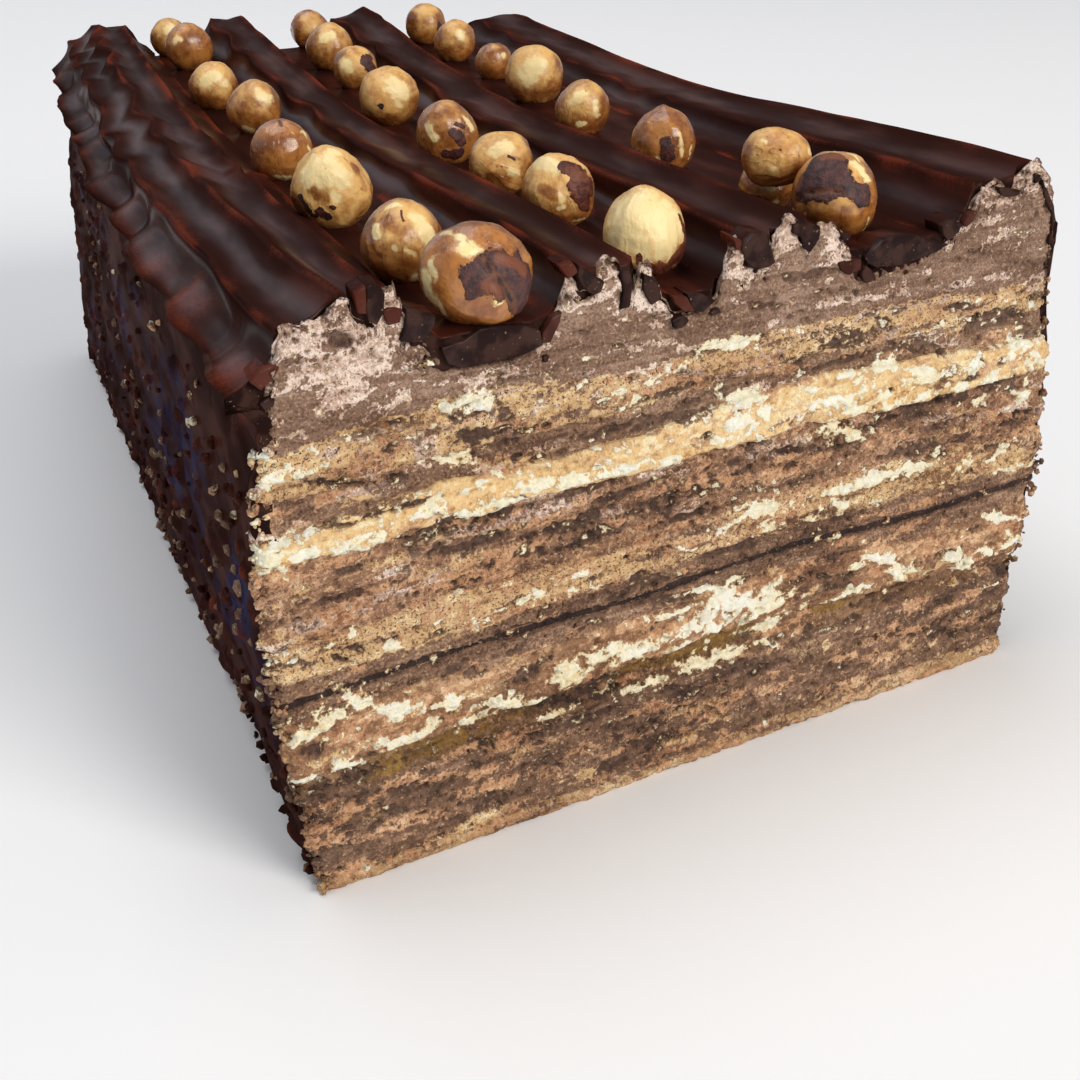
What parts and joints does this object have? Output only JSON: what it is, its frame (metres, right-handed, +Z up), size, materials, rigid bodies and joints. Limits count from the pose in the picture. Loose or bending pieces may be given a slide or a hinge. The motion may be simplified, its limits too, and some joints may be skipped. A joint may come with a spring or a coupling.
{
  "type": "chocolate hazelnut layer cake",
  "caption": "Bar-shaped chocolate layer cake cut across at one end, with piped ropes under dark ganache and rows of whole hazelnuts.",
  "frame": {"origin": "middle of the footprint's bounding box, on the surface that the cake stands on", "axes": "+Z up, +Y along the cake from the cut end to the glazed far end, +X across it to the right of someone facing the cut"},
  "size_m": [0.1572, 0.2794, 0.1002],
  "materials": {
    "base_crumb": "pale baked crumb",
    "sponge_brown": "open cocoa sponge with tan specks",
    "caramel": "amber jelly, moist",
    "cream_ivory": "broken ivory cream among orange-brown sponge",
    "cocoa_cream": "smooth cocoa cream",
    "chocolate_seam": "thin dark chocolate",
    "sponge_tan": "speckled tan sponge",
    "sponge_pink": "coarse pinkish brown sponge",
    "cream_yellow": "moist yellow cream",
    "mousse": "aerated cocoa mousse",
    "ganache": "glossy dark chocolate glaze",
    "hazelnut": "blond peeled kernel with dark skin patches, glossy"
  },
  "bodies": {
    "root": {"base_crumb": "base_crumb", "sponge_lower": "sponge_brown", "caramel_jelly": "caramel", "cream_broken": "cream_ivory", "cocoa_cream_lower": "cocoa_cream", "chocolate_seam": "chocolate_seam", "cocoa_cream_middle": "cocoa_cream", "sponge_tan_middle": "sponge_tan", "sponge_pink": "sponge_pink", "cream_yellow": "cream_yellow", "cocoa_cream_upper": "cocoa_cream", "sponge_tan_upper": "sponge_tan", "mousse_top": "mousse", "ganache_glaze": "ganache", "hazelnut_01": "hazelnut", "hazelnut_02": "hazelnut", "hazelnut_03": "hazelnut", "hazelnut_04": "hazelnut", "hazelnut_05": "hazelnut", "hazelnut_06": "hazelnut", "hazelnut_07": "hazelnut", "hazelnut_08": "hazelnut", "hazelnut_09": "hazelnut", "hazelnut_10": "hazelnut", "hazelnut_11": "hazelnut", "hazelnut_12": "hazelnut", "hazelnut_13": "hazelnut", "hazelnut_14": "hazelnut", "hazelnut_15": "hazelnut", "hazelnut_16": "hazelnut", "hazelnut_17": "hazelnut", "hazelnut_18": "hazelnut", "hazelnut_19": "hazelnut", "hazelnut_20": "hazelnut", "hazelnut_21": "hazelnut", "hazelnut_22": "hazelnut", "hazelnut_23": "hazelnut", "hazelnut_24": "hazelnut", "hazelnut_25": "hazelnut"}
  },
  "joints": []
}
